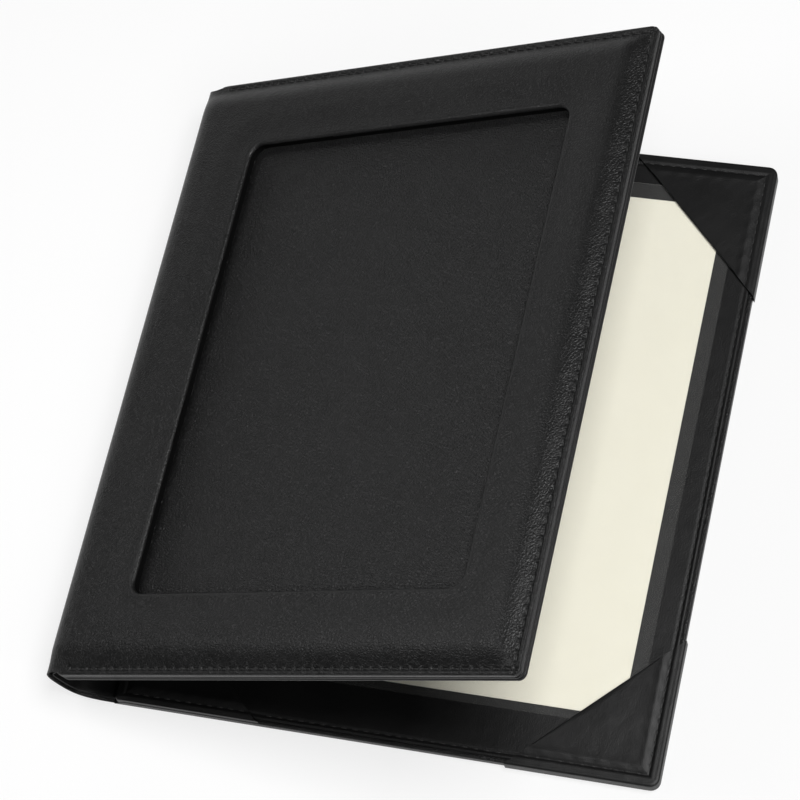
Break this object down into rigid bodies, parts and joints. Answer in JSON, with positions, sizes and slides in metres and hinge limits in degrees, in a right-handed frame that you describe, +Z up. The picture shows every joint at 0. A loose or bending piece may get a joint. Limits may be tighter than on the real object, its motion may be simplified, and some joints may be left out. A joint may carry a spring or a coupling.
{
  "type": "certificate frame",
  "caption": "Padded leather certificate holder: a front cover with a recessed panel hinges on a soft spine over a back cover whose corner pockets hold a sheet under clear film.",
  "frame": {"origin": "middle of the back cover's resting face, on the table", "axes": "+X from the spine to the fore edge, +Y along the spine to the top edge, +Z up from the table"},
  "size_m": [0.2744, 0.3066, 0.1249],
  "materials": {
    "cover_leather": "smooth black leather, satin",
    "lining_leather": "thin black lining leather, satin",
    "pocket_leather": "smooth black leather, satin",
    "panel_leather": "pebble grained black leather, matt",
    "board": "grey binder's board",
    "card": "thin infill card",
    "foam": "soft padding foam",
    "paper": "cream certificate paper, matt",
    "film": "clear film, glossy",
    "thread": "black sewing thread"
  },
  "bodies": {
    "back": {"back_cover_leather": "cover_leather", "back_board": "board", "back_infill_card": "card", "back_liner": "lining_leather", "corner_pocket_top_fore": "pocket_leather", "corner_pocket_bottom_fore": "pocket_leather", "corner_pocket_top_spine": "pocket_leather", "corner_pocket_bottom_spine": "pocket_leather", "certificate_sheet": "paper", "clear_film": "film", "back_edge_stitches": "thread", "pocket_stitches": "thread"},
    "spine": {"spine_leather": "cover_leather", "spine_liner": "lining_leather"},
    "front": {"front_liner": "lining_leather", "front_backing_board": "board", "panel_card": "card", "panel_leather": "panel_leather", "front_frame_board": "board", "front_foam_pad": "foam", "front_cover_leather": "cover_leather", "front_edge_stitches": "thread"}
  },
  "joints": [
    {"name": "spine_hinge", "type": "hinge", "parent": "back", "child": "spine", "pos_m": [-0.13783, 0, 0.00085], "axis": [0, -1, 0], "range_deg": [-23, 52]},
    {"name": "cover_hinge", "type": "hinge", "parent": "spine", "child": "front", "pos_m": [-0.14882, 0, 0.0274], "axis": [0, -1, 0], "range_deg": [-3.6, 104]}
  ]
}
